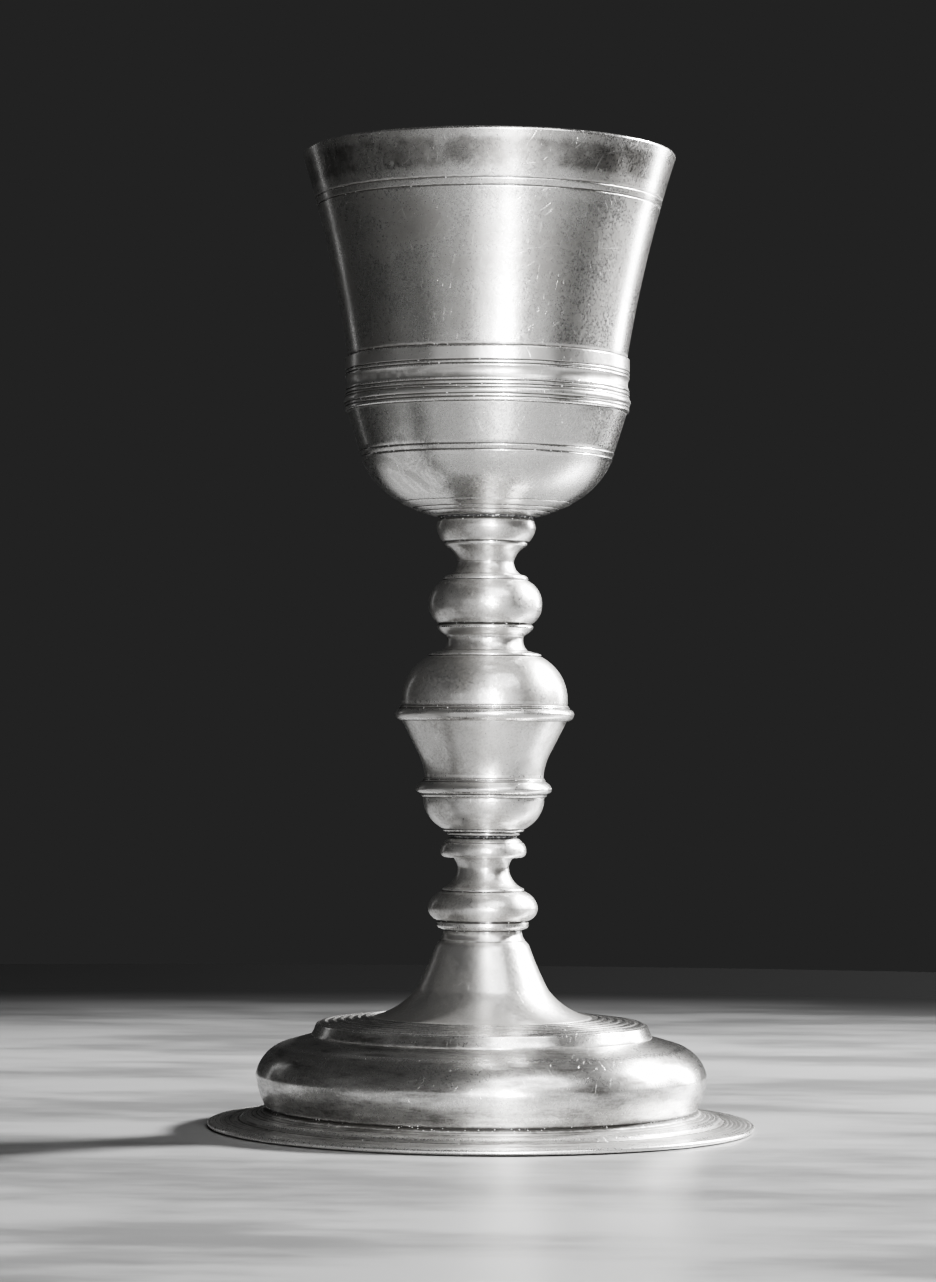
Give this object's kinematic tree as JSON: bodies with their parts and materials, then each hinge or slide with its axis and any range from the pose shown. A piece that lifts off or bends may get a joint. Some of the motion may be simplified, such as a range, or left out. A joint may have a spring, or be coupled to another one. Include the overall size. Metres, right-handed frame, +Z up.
{
  "type": "communion chalice",
  "caption": "Metal communion chalice: a flared cup with a moulded band, a turned stem with a domed knop, and a wide stepped foot, drawn together by a rod inside.",
  "frame": {"origin": "centre of the foot's underside, on the plane that the chalice stands on", "axes": "+Z up along the axis of the cup, stem and foot"},
  "size_m": [0.14, 0.14, 0.25],
  "materials": {
    "cup_metal": "satin",
    "moulding_metal": "satin",
    "stem_metal": "satin",
    "knop_metal": "satin",
    "foot_metal": "satin",
    "fitting_metal": "satin",
    "packing_lead": "matte"
  },
  "bodies": {
    "root": {"cup_bowl": "cup_metal", "cup_band": "moulding_metal", "cup_base_plate": "moulding_metal", "cup_boss": "fitting_metal", "cup_packing": "packing_lead", "top_collar": "stem_metal", "upper_spool": "stem_metal", "upper_bead": "stem_metal", "upper_ring": "moulding_metal", "knop_neck": "stem_metal", "knop_dome": "knop_metal", "knop_band": "moulding_metal", "knop_cone": "knop_metal", "knop_lower_band": "moulding_metal", "knop_bowl": "knop_metal", "knop_ring": "moulding_metal", "stem_packing": "packing_lead", "lower_collar": "stem_metal", "lower_spool": "stem_metal", "lower_bead": "stem_metal", "foot_collar": "moulding_metal", "foot_trumpet": "foot_metal", "foot_step": "foot_metal", "foot_drum": "foot_metal", "foot_brim": "foot_metal", "tie_rod": "fitting_metal", "foot_washer": "fitting_metal", "foot_nut": "fitting_metal"}
  },
  "joints": []
}
